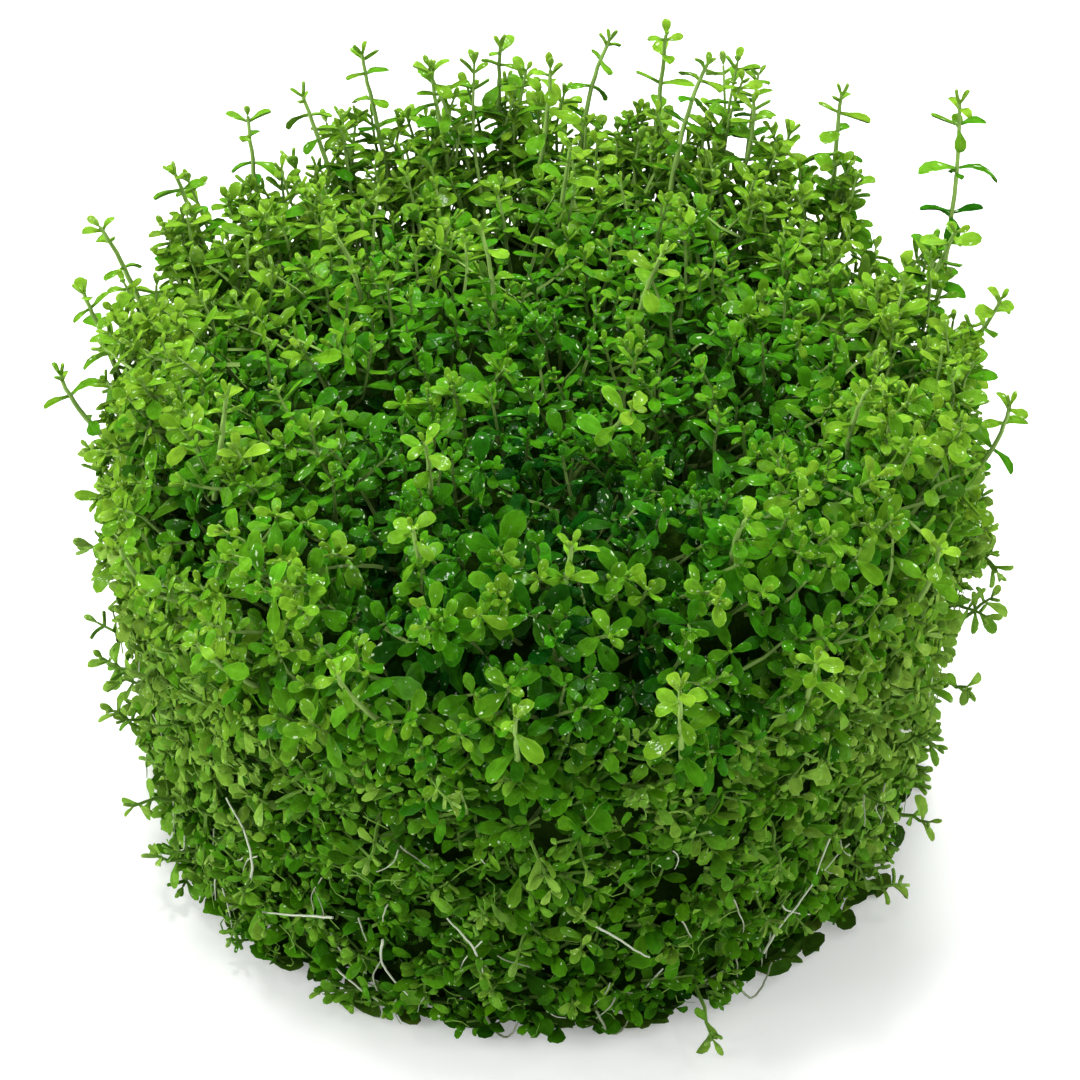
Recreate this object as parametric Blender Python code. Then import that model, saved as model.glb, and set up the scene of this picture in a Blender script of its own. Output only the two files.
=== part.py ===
"""Dwarf baby tears, a carpet plant for aquariums, as a clump turned out of the round cup it grew in.

The cup pressed the clump into a tapered drum with a flat underside. Above the rim the plant
grows free, as a lumpy canopy with single shoots standing out of it. The origin is at the centre
of the underside, +Z is up, and -Y is the clump's front. All sizes are in metres.
"""

import math
import random

import bmesh
import bpy
from mathutils import Matrix, Quaternion, Vector, noise
from mathutils.bvhtree import BVHTree

MM = 0.001

# The clump's form
BASE_RADIUS = 35.5 * MM
RIM_RADIUS = 40.4 * MM
RIM_HEIGHT = 34.3 * MM
CROWN_HEIGHT = 49.0 * MM
FOOT_HEIGHT = 2.6 * MM
FOOT_WIDTH = 3.5 * MM
CROWN_FULLNESS = 6.7
SHOULDER_FULLNESS = 4.8
MIDDLE_HEIGHT = 0.46 * CROWN_HEIGHT

# The lumps of its surface
CANOPY_RELIEF = 1.5 * MM
WALL_RELIEF = 0.7 * MM
LUMP_SPACING = 7.0 * MM
HOLLOW_WIDTH = 4.5 * MM
HOLLOW_DEPTH = 3.6 * MM

# Where the canopy sinks between its shoots: bearing in degrees and distance from the axis in mm
HOLLOWS = ((-44, 15), (101, 19), (-118, 31), (-78, 33), (165, 30), (30, 33), (-160, 15))

# The bulge at the foot of the wall: bearing in degrees, height, how far it stands out, and its width
FOOT_LUMP = (-42, 4.0 * MM, 1.6 * MM, 7.0 * MM)

# One leaf, spoon-shaped. It broadens from half its width at the base, and lower leaves arch over more.
LEAF_LENGTH = 3.6 * MM
LEAF_WIDTH = 1.95 * MM
LEAF_THICKNESS = 0.42 * MM
LEAF_INSET = 0.03 * MM
LEAF_SIDES = 6
BASE_BREADTH = 0.5
BROADENING = 1.6
LOW_ARCH = 0.12

# Stems, and the pairs of leaves on them. Leaves grow smaller and steeper towards the tip.
STEM_RADIUS = 0.3 * MM
TIP_TAPER = 0.7
STEM_SWAY = 0.14
KNEE_SHARE = 0.55
PAIR_SPACING = 2.4 * MM
FIRST_PAIR = 0.45
LAST_PAIR = 0.97
TIP_LEAF = 0.65
LOW_CLIMB = math.radians(22)
TOP_CLIMB = math.radians(54)
SHOOT_LEAN = 2.2 * MM
RIM_RISE = 0.35

# What each piece keeps to its neighbours
GAP = 0.3 * MM
LEAF_CLEARANCE = (1.15, 1.5, 1 + 2 * GAP / LEAF_THICKNESS)

# Shoots that rise from the top of the canopy: bearing in degrees, then the stem tip's distance from the
# axis and height in mm. The first thirteen stand along the back and the right and are its skyline.
CANOPY_SHOOTS = (
    (114, 39, 56.0),
    (105, 34, 55.5),
    (97, 38, 55.5),
    (88, 33, 55.0),
    (80, 38, 56.0),
    (71, 38.5, 57.5),
    (63, 35, 56.5),
    (55, 37, 53.0),
    (45, 40, 55.0),
    (20, 40, 51.0),
    (124, 37, 53.5),
    (134, 39.5, 52.5),
    (146, 39.5, 51.5),
    (-25, 30, 52.5),
    (-62, 33, 52.0),
    (-87, 35, 51.5),
    (-109, 33, 52.0),
    (-150, 33, 52.5),
    (-112, 23, 53.5),
    (-65, 18, 53.5),
    (21, 11, 54.0),
    (120, 9, 54.0),
    (153, 19, 54.0),
    (85, 22, 55.0),
)

# Shoots that lean out of the canopy's side, in the same form, with the height of the foot
RIM_SHOOTS = (
    (32, 45, 57.0, 35),
    (9, 41.5, 48.5, 43.5),
    (-7, 42, 44.5, 40),
    (157, 42.5, 48.5, 44),
    (169, 41.5, 47.5, 43),
    (182, 42, 44.5, 40),
    (-36, 42, 45.0, 40.5),
    (-56, 42, 42.5, 38.5),
    (-74, 42.3, 43.5, 39),
    (-93, 42.3, 41.5, 37.5),
    (-112, 42.3, 43.5, 39.5),
    (-130, 42, 42.5, 38.5),
    (-148, 42, 44.0, 39.5),
)

# Sprigs out of the wall: bearing, height of the foot, how far the stem tip stands out and rises, in mm
SPRIGS = (
    (-161, 23, 1.0, 2.0),
    (-164, 15, 0.9, 1.8),
    (-156, 9.5, 3.0, 1.0),
    (-150, 5.0, 2.6, 1.2),
    (-13, 26, 1.2, 2.2),
    (-16, 19.5, 0.9, 1.8),
    (-27, 9, 0.8, 1.8),
    (-33, 3.5, 1.0, 1.6),
    (70, 21, 1.4, 2.0),
    (135, 12, 1.4, 1.6),
)
TRAILING_SPRIG = (-67, 3.0, 4.2, -0.7)
SPRIG_LEAF = 2.7 * MM
SPRIG_PAIRS = 2
SPRIG_FIRST_PAIR = 0.5

# Roots on the wall: bearing in degrees and height in mm of each end, and the middle's bow aside in degrees
ROOTS = (
    (-131, 8.3, -119, 12.0, 0),
    (-102, 16.5, -98, 8.0, 2),
    (-111, 11.5, -108, 5.0, -2),
    (-120, 4.5, -113, 2.6, 0),
    (-84, 16.5, -75, 10.5, 0),
    (-57, 6.0, -51, 13.0, -1),
    (-134, 22.0, -132, 12.5, 2),
    (-38, 26.5, -33, 23.5, 0),
)
ROOT_RADIUS = 0.2 * MM
ROOT_STEP = 1.5 * MM
STANDOFF_STEP = 0.1 * MM

# Roots that loop out of the wall's lower edge: bearing in degrees, height and width in mm
EDGE_LOOPS = ((-58, 3.2, 4.0), (-79, 3.4, 3.4), (-95, 2.8, 3.0))
LOOP_POINTS = 9
LOOP_REACH = 0.6

# Tufts that the canopy rises to, from just under the rim up, lower at the rim than on the crown
TUFT_HEIGHT = 2.4 * MM
TUFT_LEAN = 1.3 * MM
TUFT_FROM = RIM_HEIGHT - 3 * MM
RIM_TUFT = 0.4
SHORTEST_TUFT = 0.3

# Leaf pairs that grow straight out of the canopy
CANOPY_PAIRS = 12
PAIR_CLIMB = math.radians(50)
PAIR_DEPTH = 0.5 * MM
PAIR_HALF_GAP = 0.1 * MM
PAIR_ARCH = 0.1
PAIR_SPREAD = 0.95 * RIM_RADIUS
GOLDEN_ANGLE = math.pi * (3 - math.sqrt(5))

LEAF_GREEN = (0.10, 0.27, 0.025)
SHOOT_GREEN = (0.17, 0.42, 0.04)
SPRIG_GREEN = (0.12, 0.30, 0.035)
ROOT_WHITE = (0.72, 0.74, 0.62)

chance = random.Random(41)


def clear_scene():
    for obj in list(bpy.data.objects):
        bpy.data.objects.remove(obj)


def new_collection(name):
    collection = bpy.data.collections.new(name)
    bpy.context.scene.collection.children.link(collection)
    return collection


def new_material(name, colour, roughness):
    material = bpy.data.materials.new(name)
    material.use_nodes = True
    shader = material.node_tree.nodes["Principled BSDF"]
    shader.inputs["Base Color"].default_value = (*colour, 1)
    shader.inputs["Roughness"].default_value = roughness
    shader.inputs["Metallic"].default_value = 0
    return material


def outward(bearing):
    return Vector((math.cos(bearing), math.sin(bearing), 0))


def clump_radius(height):
    """The clump's distance from its axis at a height, before its lumps."""
    if height > RIM_HEIGHT:
        share = min(1, (height - RIM_HEIGHT) / (CROWN_HEIGHT - RIM_HEIGHT))
        return RIM_RADIUS * (1 - share**CROWN_FULLNESS) ** (1 / SHOULDER_FULLNESS)
    return BASE_RADIUS + (RIM_RADIUS - BASE_RADIUS) * height / RIM_HEIGHT


def reach_along(direction, middle):
    """The point where a ray from the clump's middle leaves its plain form, found by halving."""
    near, far = 0.0, 2 * RIM_RADIUS
    for _ in range(40):
        half = (near + far) / 2
        point = middle + direction * half
        inside = 0 < point.z < CROWN_HEIGHT and point.xy.length < clump_radius(point.z)
        near, far = (half, far) if inside else (near, half)
    return middle + direction * near


def lumps(point):
    """Raises and lowers one point of the plain form. The underside stays flat out to the foot of the wall."""
    if point.z < FOOT_HEIGHT and point.xy.length > BASE_RADIUS - FOOT_WIDTH:
        return outward(math.atan2(point.y, point.x)) * BASE_RADIUS
    if point.z < GAP:
        point.z = 0
        return point
    up_share = min(1, max(0, (point.z - RIM_HEIGHT) / (CROWN_HEIGHT - RIM_HEIGHT)))
    lump = noise.noise(point / LUMP_SPACING, noise_basis="PERLIN_ORIGINAL")
    away = Vector((point.x, point.y, 0)).normalized()
    normal = (away * (1 - up_share) + Vector((0, 0, up_share))).normalized()
    moved = point + normal * lump * 2 * (WALL_RELIEF + (CANOPY_RELIEF - WALL_RELIEF) * up_share)
    for bearing, distance in HOLLOWS:
        middle = outward(math.radians(bearing)) * distance * MM
        apart = (point.xy - middle.xy).length
        moved.z -= up_share * HOLLOW_DEPTH * math.exp(-((apart / HOLLOW_WIDTH) ** 2))
    bearing, height, bulge, width = FOOT_LUMP
    middle = outward(math.radians(bearing)) * BASE_RADIUS + Vector((0, 0, height))
    moved += away * bulge * math.exp(-(((point - middle).length / width) ** 2))
    moved.z = max(moved.z, 0)
    return moved


def add_tufts(form):
    """Raises the middle of each of the canopy's faces to a leaning point, lowest at the rim."""
    faces = [face for face in form.faces if face.calc_center_median().z > TUFT_FROM]
    normals = [face.normal.copy() for face in faces]
    peaks = bmesh.ops.poke(form, faces=faces)["verts"]
    for peak, normal in zip(peaks, normals):
        climb = min(1, (peak.co.z - TUFT_FROM) / (CROWN_HEIGHT - TUFT_FROM))
        growth = RIM_TUFT + (1 - RIM_TUFT) * climb
        aside = Quaternion(normal, chance.uniform(0, 2 * math.pi)) @ normal.orthogonal().normalized()
        peak.co += normal * TUFT_HEIGHT * growth * chance.uniform(SHORTEST_TUFT, 1)
        peak.co += aside * chance.uniform(0, TUFT_LEAN)


def flatten_underside(form):
    """Joins the many faces of the flat underside into a few."""
    under = [face for face in form.faces if face.normal.z < -0.999]
    edges = [edge for edge in form.edges if all(face in under for face in edge.link_faces)]
    verts = [vertex for vertex in form.verts if all(face in under for face in vertex.link_faces)]
    bmesh.ops.dissolve_limit(form, angle_limit=math.radians(1), verts=verts, edges=edges)
    bmesh.ops.triangulate(form, faces=[face for face in form.faces if len(face.verts) > 4])


def clump_form():
    """The clump: a ball of even triangles drawn out to the drum and its canopy, lumped and then tufted."""
    form = bmesh.new()
    bmesh.ops.create_icosphere(form, subdivisions=4, radius=1)
    middle = Vector((0, 0, MIDDLE_HEIGHT))
    for vertex in form.verts:
        vertex.co = lumps(reach_along(vertex.co.normalized(), middle))
    form.normal_update()
    flatten_underside(form)
    add_tufts(form)
    form.normal_update()
    return form


def add_object(name, mesh, material, collection):
    mesh.name = name
    mesh.materials.clear()
    mesh.materials.append(material)
    mesh.shade_smooth()
    mesh.set_sharp_from_angle(angle=math.radians(35))
    obj = bpy.data.objects.new(name, mesh)
    collection.objects.link(obj)
    return obj


def evaluated_mesh(obj):
    graph = bpy.context.evaluated_depsgraph_get()
    return bpy.data.meshes.new_from_object(obj.evaluated_get(graph))


def tube_mesh(points, radius, end_radius):
    """A closed tube of four sides through the points, made from a curve with a bevel and filled caps."""
    curve = bpy.data.curves.new("tube", "CURVE")
    curve.dimensions = "3D"
    curve.bevel_depth = radius
    curve.bevel_resolution = 0
    curve.use_fill_caps = True
    spline = curve.splines.new("POLY")
    spline.points.add(len(points) - 1)
    for index, (place, point) in enumerate(zip(spline.points, points)):
        place.co = (*point, 1)
        place.radius = 1 + (end_radius / radius - 1) * index / (len(points) - 1)
    guide = bpy.data.objects.new("tube", curve)
    bpy.context.scene.collection.objects.link(guide)
    mesh = evaluated_mesh(guide)
    bpy.data.objects.remove(guide)
    welded = bmesh.new()
    welded.from_mesh(mesh)
    bmesh.ops.remove_doubles(welded, verts=welded.verts, dist=0.01 * MM)
    bmesh.ops.recalc_face_normals(welded, faces=welded.faces)
    welded.to_mesh(mesh)
    welded.free()
    return mesh


def leaf_form(length, arch):
    """One leaf along +X, its base at the origin: a ring of points between two poles, drawn to a spoon."""
    form = bmesh.new()
    bmesh.ops.create_uvsphere(form, u_segments=LEAF_SIDES, v_segments=2, radius=1)
    ring = [vertex for vertex in form.verts if vertex.co.xy.length > 0.5]
    to_base = math.pi - math.atan2(ring[0].co.y, ring[0].co.x)
    bmesh.ops.rotate(form, verts=form.verts, matrix=Matrix.Rotation(to_base, 3, "Z"))
    scale = length / LEAF_LENGTH
    for vertex in form.verts:
        along = (1 + vertex.co.x) / 2
        spoon = BASE_BREADTH + (1 - BASE_BREADTH) * min(1, along * BROADENING)
        drop = arch * length * along**2
        vertex.co = Vector(
            (
                LEAF_INSET + along * length,
                vertex.co.y * spoon * LEAF_WIDTH / 2 * scale,
                vertex.co.z * LEAF_THICKNESS / 2 - drop,
            )
        )
    return form


def leaf_place(base, direction, upper):
    """The matrix that stands a leaf at its base, pointing along direction, with its upper face turned up."""
    along = direction.normalized()
    across = upper.cross(along).normalized()
    face = along.cross(across)
    turn = Matrix((along, across, face)).transposed().to_4x4()
    return Matrix.Translation(base) @ turn


def curve_points(foot, tip, rise, count):
    """Points of a stem that leaves its foot along rise and bends over to its tip."""
    length = (tip - foot).length
    sway = Vector((chance.uniform(-1, 1), chance.uniform(-1, 1), 0)) * STEM_SWAY * length
    knee = foot + rise.normalized() * length * KNEE_SHARE + sway
    points = []
    for index in range(count):
        share = index / (count - 1)
        points.append(foot.lerp(knee, share).lerp(knee.lerp(tip, share), share))
    return points


class Neighbours:
    """What is already standing, so that each new leaf keeps clear of it."""

    def __init__(self, ground):
        self.trees = [ground]

    def block(self, mesh_form):
        self.trees.append(BVHTree.FromBMesh(mesh_form))

    def has_room_for(self, form, place):
        """Whether a leaf, made a little larger, touches nothing that stands."""
        swollen = form.copy()
        middle = Vector((LEAF_LENGTH / 2, 0, 0))
        swell = Matrix.Diagonal((*LEAF_CLEARANCE, 1))
        about = Matrix.Translation(middle) @ swell @ Matrix.Translation(-middle)
        swollen.transform(place @ about)
        tree = BVHTree.FromBMesh(swollen)
        swollen.free()
        return not any(tree.overlap(other) for other in self.trees)


def union(body, joined):
    """One mesh of the body with the leaves joined to it. Both helper objects are removed."""
    modifier = body.modifiers.new("join", "BOOLEAN")
    modifier.operation = "UNION"
    modifier.solver = "EXACT"
    modifier.object = joined
    mesh = evaluated_mesh(body)
    bpy.data.objects.remove(body)
    bpy.data.objects.remove(joined)
    return mesh


def add_form(target, form):
    """Adds a copy of one bmesh to another."""
    piece = bpy.data.meshes.new("piece")
    form.to_mesh(piece)
    target.from_mesh(piece)
    bpy.data.meshes.remove(piece)


def leafy_stem(name, points, pairs, first_pair, leaf_length, material, collection, neighbours):
    """A stem with opposite leaf pairs, each pair a quarter turn from the last, joined into one solid."""
    tube = tube_mesh(points, STEM_RADIUS, STEM_RADIUS * TIP_TAPER)
    stem = add_object("stem", tube, material, collection)
    leaves = bmesh.new()
    turned = chance.uniform(0, math.pi)
    last = len(points) - 1
    for pair in range(pairs):
        young = pair / max(1, pairs - 1)
        share = first_pair + (LAST_PAIR - first_pair) * young
        index = min(int(share * last), last - 1)
        base = points[index].lerp(points[index + 1], share * last - index)
        stem_way = (points[index + 1] - points[index]).normalized()
        length = leaf_length * (1 - (1 - TIP_LEAF) * young) * chance.uniform(0.9, 1.05)
        climb = LOW_CLIMB + (TOP_CLIMB - LOW_CLIMB) * young + chance.uniform(-0.1, 0.1)
        for side in (0, math.pi):
            around = Quaternion(stem_way, turned + side)
            aside = around @ stem_way.orthogonal().normalized()
            direction = aside * math.cos(climb) + stem_way * math.sin(climb)
            form = leaf_form(length, LOW_ARCH * (1 - young))
            place = leaf_place(base, direction, stem_way)
            if neighbours.has_room_for(form, place):
                form.transform(place)
                add_form(leaves, form)
            form.free()
        turned += math.pi / 2 + chance.uniform(-0.2, 0.2)
    mesh = bpy.data.meshes.new("leaves")
    leaves.to_mesh(mesh)
    leaves.free()
    joined = union(stem, add_object("leaves", mesh, material, collection))
    standing = bmesh.new()
    standing.from_mesh(joined)
    neighbours.block(standing)
    standing.free()
    return add_object(name, joined, material, collection)


def canopy_point(ground, bearing, distance, standoff):
    """A point above the canopy at a bearing and a distance from the axis, and the way it faces there."""
    above = outward(bearing) * distance + Vector((0, 0, 2 * CROWN_HEIGHT))
    point, normal, _, _ = ground.ray_cast(above, Vector((0, 0, -1)))
    return point + normal * standoff, normal


def wall_point(ground, bearing, height, standoff):
    """A point off the clump's side at a bearing and height, and the way that the side faces there."""
    outside = outward(bearing) * 2 * RIM_RADIUS + Vector((0, 0, height))
    point, normal, _, _ = ground.ray_cast(outside, -outward(bearing))
    return point + normal * standoff, normal


def add_shoots(ground, material, collection, neighbours):
    standoff = GAP + STEM_RADIUS
    for number, (degrees, distance, height, *foot_height) in enumerate(CANOPY_SHOOTS + RIM_SHOOTS, 1):
        bearing = math.radians(degrees)
        tip = outward(bearing) * distance * MM + Vector((0, 0, height * MM))
        if foot_height:
            foot, normal = wall_point(ground, bearing, foot_height[0] * MM, standoff)
        else:
            foot, normal = canopy_point(ground, bearing, distance * MM - SHOOT_LEAN, standoff)
        rise = normal * (RIM_RISE if foot_height else 1) + Vector((0, 0, 1))
        length = (tip - foot).length
        pairs = max(2, round(length / PAIR_SPACING))
        points = curve_points(foot, tip, rise, 3 + pairs // 2)
        first_pair = min(FIRST_PAIR, PAIR_SPACING / length)
        name = f"shoot_{number:02d}"
        leafy_stem(name, points, pairs, first_pair, LEAF_LENGTH, material, collection, neighbours)


def add_sprigs(ground, material, collection, neighbours):
    for number, (degrees, height, out, up) in enumerate((*SPRIGS, TRAILING_SPRIG), 1):
        bearing = math.radians(degrees)
        foot, normal = wall_point(ground, bearing, height * MM, GAP + STEM_RADIUS)
        tip = foot + outward(bearing) * out * MM + Vector((0, 0, up * MM))
        points = curve_points(foot, tip, normal, 3)
        name = f"sprig_{number:02d}"
        leaves = (SPRIG_PAIRS, SPRIG_FIRST_PAIR, SPRIG_LEAF)
        leafy_stem(name, points, *leaves, material, collection, neighbours)


def root_points(ground, start, end, bow, standoff):
    """Points of a root along the wall."""
    (first_bearing, first_height), (last_bearing, last_height) = start, end
    run = math.hypot(last_height - first_height, (last_bearing - first_bearing) * BASE_RADIUS)
    count = max(4, round(run / ROOT_STEP))
    points = []
    for index in range(count):
        share = index / (count - 1)
        bearing = first_bearing + (last_bearing - first_bearing) * share + bow * math.sin(math.pi * share)
        height = first_height + (last_height - first_height) * share
        points.append(wall_point(ground, bearing, height, standoff)[0])
    return points


def loop_points(ground, bearing, height, width, standoff):
    """A root that leaves the wall's lower edge, swings out over the surface and turns back to the wall."""
    middle, _ = wall_point(ground, bearing, height, standoff)
    aside = Vector((-math.sin(bearing), math.cos(bearing), 0))
    points = []
    for index in range(LOOP_POINTS):
        share = index / (LOOP_POINTS - 1)
        swing = math.sin(math.pi * share)
        point = middle + aside * width * (share - 0.5) + outward(bearing) * width * LOOP_REACH * swing
        point.z = height - (height - 2 * ROOT_RADIUS) * swing
        points.append(point)
    return points


def add_root(name, make_points, material, collection, neighbours):
    """A root that stands as little off the wall as keeps it clear of it."""
    standoff = ROOT_RADIUS + GAP
    while True:
        mesh = tube_mesh(make_points(standoff), ROOT_RADIUS, ROOT_RADIUS * TIP_TAPER)
        swollen = tube_mesh(make_points(standoff), ROOT_RADIUS + GAP, ROOT_RADIUS + GAP)
        form = bmesh.new()
        form.from_mesh(swollen)
        tree = BVHTree.FromBMesh(form)
        if not any(tree.overlap(other) for other in neighbours.trees):
            break
        form.free()
        standoff += STANDOFF_STEP
    neighbours.block(form)
    form.free()
    return add_object(name, mesh, material, collection)


def add_roots(ground, material, collection, neighbours):
    for number, (first, low, last, high, bow) in enumerate(ROOTS, 1):
        start = (math.radians(first), low * MM)
        end = (math.radians(last), high * MM)

        def along_wall(standoff):
            return root_points(ground, start, end, math.radians(bow), standoff)

        add_root(f"root_{number:02d}", along_wall, material, collection, neighbours)
    for number, (degrees, height, width) in enumerate(EDGE_LOOPS, 1):
        def loop(standoff):
            return loop_points(ground, math.radians(degrees), height * MM, width * MM, standoff)

        add_root(f"root_loop_{number}", loop, material, collection, neighbours)


def canopy_pairs(ground, neighbours):
    """Opposite leaf pairs spread evenly over the canopy, with their bases in its surface."""
    leaves = bmesh.new()
    for index in range(CANOPY_PAIRS):
        distance = PAIR_SPREAD * math.sqrt((index + 0.5) / CANOPY_PAIRS)
        point, normal = canopy_point(ground, index * GOLDEN_ANGLE, distance, 0)
        turned = chance.uniform(0, math.pi)
        for side in (0, math.pi):
            aside = Quaternion(normal, turned + side) @ normal.orthogonal().normalized()
            direction = aside * math.cos(PAIR_CLIMB) + normal * math.sin(PAIR_CLIMB)
            base = point - normal * PAIR_DEPTH + aside * PAIR_HALF_GAP
            form = leaf_form(LEAF_LENGTH * chance.uniform(1.0, 1.2), PAIR_ARCH)
            place = leaf_place(base, direction, normal)
            if neighbours.has_room_for(form, place):
                form.transform(place)
                add_form(leaves, form)
            form.free()
    mesh = bpy.data.meshes.new("leaves")
    leaves.to_mesh(mesh)
    leaves.free()
    return mesh


def add_clump(form, ground, material, collection, neighbours):
    mesh = bpy.data.meshes.new("clump")
    form.to_mesh(mesh)
    body = add_object("body", mesh, material, collection)
    leaves = add_object("leaves", canopy_pairs(ground, neighbours), material, collection)
    return add_object("clump", union(body, leaves), material, collection)


def main():
    clear_scene()
    parts = new_collection("dwarf_baby_tears")
    leaf_green = new_material("leaf_green", LEAF_GREEN, 0.45)
    shoot_green = new_material("shoot_green", SHOOT_GREEN, 0.4)
    sprig_green = new_material("sprig_green", SPRIG_GREEN, 0.45)
    root_white = new_material("root_white", ROOT_WHITE, 0.5)
    form = clump_form()
    ground = BVHTree.FromBMesh(form)
    neighbours = Neighbours(ground)
    add_shoots(ground, shoot_green, parts, neighbours)
    add_sprigs(ground, sprig_green, parts, neighbours)
    add_roots(ground, root_white, parts, neighbours)
    neighbours.trees.remove(ground)
    add_clump(form, ground, leaf_green, parts, neighbours)
    form.free()


main()
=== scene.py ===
"""A clump of dwarf baby tears, turned out of the round cup it grew in."""

import math
from types import SimpleNamespace

import bmesh
import bpy
import numpy as np
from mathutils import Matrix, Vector, noise
from mathutils.bvhtree import BVHTree


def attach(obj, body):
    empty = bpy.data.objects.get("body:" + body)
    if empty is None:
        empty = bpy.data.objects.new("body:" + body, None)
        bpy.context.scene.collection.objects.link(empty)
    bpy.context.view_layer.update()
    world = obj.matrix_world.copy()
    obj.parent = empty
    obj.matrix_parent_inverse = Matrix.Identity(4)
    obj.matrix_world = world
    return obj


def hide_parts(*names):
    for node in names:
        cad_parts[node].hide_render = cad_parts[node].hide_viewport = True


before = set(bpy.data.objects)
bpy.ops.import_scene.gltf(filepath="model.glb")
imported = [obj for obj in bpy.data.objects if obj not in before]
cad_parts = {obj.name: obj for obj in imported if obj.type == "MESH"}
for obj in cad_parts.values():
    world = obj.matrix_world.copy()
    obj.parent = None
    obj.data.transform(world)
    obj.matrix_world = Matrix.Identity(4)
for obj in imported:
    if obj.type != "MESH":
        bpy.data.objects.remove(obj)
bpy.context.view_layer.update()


# The core: old stems, dead leaves and roots deep in the clump, felted into one dense dark mass.
# It shows only as the shade between the leaves; its near-black colour is partly painted shade.
# Everything else grows out of it.
MM = 0.001
CORE_MIDDLE = Vector((0, 0, 21 * MM))
CORE_UNDER_WALL = 4.8 * MM
CORE_UNDER_CANOPY = 9.5 * MM
CORE_UNDER_FOOT = 2.0 * MM
FOOT_HEIGHT = 9 * MM
CORE_LUMPS = 1.2 * MM
CORE_LUMP_SIZE = 3.0 * MM
CORE_FLOOR = 0.5 * MM
HOLLOW_REACH = 33.0 * MM
HOLLOW_SLOPE = 3.0 * MM
HOLLOW_RISE = 1.2 * MM
CREASE_HEIGHT = 33 * MM
CREASE_BLEND = 8 * MM
CORE_SUBDIVISIONS = 5
CORE_ROUGHNESS = 0.75
CORE_GLOSS = 0.02
FELT_SCALE = 900
FELT_RELIEF = 0.4 * MM
# Near-black felt colours: partly the old growth's own dark, partly painted shade between the
# leaves.
CORE_SHADE_DARK = (0.004, 0.014, 0.001, 1)
CORE_SHADE_LIGHT = (0.018, 0.046, 0.003, 1)
clump_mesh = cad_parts["clump"].data
clump_corners = [polygon.vertices for polygon in clump_mesh.polygons]
clump_surface = BVHTree.FromPolygons([vertex.co for vertex in clump_mesh.vertices], clump_corners)


def core_point(way):
    """The core's point in one direction from its middle."""
    hit = clump_surface.ray_cast(CORE_MIDDLE, way)[0]
    share = min(1, max(0, (hit.z - CREASE_HEIGHT) / CREASE_BLEND))
    foot_share = max(0, 1 - hit.z / FOOT_HEIGHT)
    depth = CORE_UNDER_WALL + (CORE_UNDER_CANOPY - CORE_UNDER_WALL) * share
    depth += (CORE_UNDER_FOOT - CORE_UNDER_WALL) * foot_share
    depth += CORE_LUMPS * noise.noise(hit / CORE_LUMP_SIZE)
    point = hit - (hit - CORE_MIDDLE).normalized() * depth
    inside = min(1, max(0, (HOLLOW_REACH - point.xy.length) / HOLLOW_SLOPE))
    return Vector((point.x, point.y, max(point.z, CORE_FLOOR + HOLLOW_RISE * inside)))


core_form = bmesh.new()
bmesh.ops.create_icosphere(core_form, subdivisions=CORE_SUBDIVISIONS, radius=1)
for vertex in core_form.verts:
    vertex.co = core_point(vertex.co.normalized())
bmesh.ops.recalc_face_normals(core_form, faces=core_form.faces)
core_mesh = bpy.data.meshes.new("core")
core_form.to_mesh(core_mesh)
core_form.free()
core_mesh.shade_smooth()
core = bpy.data.objects.new("core", core_mesh)
bpy.context.scene.collection.objects.link(core)


def new_material(name, roughness):
    """A node material, its nodes and its shader."""
    material = bpy.data.materials.new(name)
    material.use_nodes = True
    shader = material.node_tree.nodes["Principled BSDF"]
    shader.inputs["Roughness"].default_value = roughness
    return material, material.node_tree, shader


def add_node(tree, kind, inputs=(), **settings):
    """A node with its settings made and its inputs set or linked, by number or name."""
    node = tree.nodes.new("ShaderNode" + kind)
    for name, value in settings.items():
        setattr(node, name, value)
    for name, value in dict(inputs).items():
        if isinstance(value, bpy.types.NodeSocket):
            tree.links.new(value, node.inputs[name])
        else:
            node.inputs[name].default_value = value
    return node


core_material, tree, shader = new_material("core_felt_shade", CORE_ROUGHNESS)
place = add_node(tree, "TexCoord").outputs["Object"]
inputs = {"Vector": place, "Scale": FELT_SCALE, "Detail": 5, "Distortion": 1.5}
felt = add_node(tree, "TexNoise", inputs).outputs["Fac"]
inputs = {"Factor": felt, "A": CORE_SHADE_DARK, "B": CORE_SHADE_LIGHT}
tint = add_node(tree, "Mix", inputs, data_type="RGBA")
tree.links.new(tint.outputs["Result"], shader.inputs["Base Color"])
felt_bump = add_node(tree, "Bump", {"Height": felt, "Strength": 0.8, "Distance": FELT_RELIEF})
tree.links.new(felt_bump.outputs["Normal"], shader.inputs["Normal"])
shader.inputs["Specular IOR Level"].default_value = CORE_GLOSS
core_mesh.materials.append(core_material)
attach(core, "root")
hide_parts("clump")


# The underside: leaves, runners and roots that the bottom of the cup pressed flat.
# The leaves lie face down on each other in two or three layers, and the clump stands on them.
TURN = 2 * math.pi
CELLS = 16
STEM_COLUMN = 14
CELL_EDGE = 0.03
ANGLE_SLACK = 1e-6
LEAST_ARCH = 0.01
LEAST_HEIGHT = 0.02 * MM
SHARP_ANGLE = math.radians(75)
LEAF_THICKNESS = 0.34 * MM
STALK_TAPER = 2.0
TAPER = 0.6
SPOON = (0.64, 0.17)
ROUND = (0.56, 0.34)
SPOT_SCALE = 3.2
GRAIN_SCALE = 13
RIB_HALF, RIB_SOFTNESS = 0.16, 4.5
MARGIN_FROM, MARGIN_SOFTNESS = 0.74, 2.6
STALK_SHARE, STALK_SOFTNESS = 0.24, 3.2
PALE_SHARE = 0.55
PALE_LIGHT = 1.9
HUE_RANGE = (0.493, 0.507)
LIGHT_RANGE = (0.78, 1.22)
MOTTLE_RANGE = (0.75, 1.2)
STEM_LIGHT_RANGE = (0.35, 1.1)
LEAF_SHOULDER = (0.95, 0.95, 0)
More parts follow.
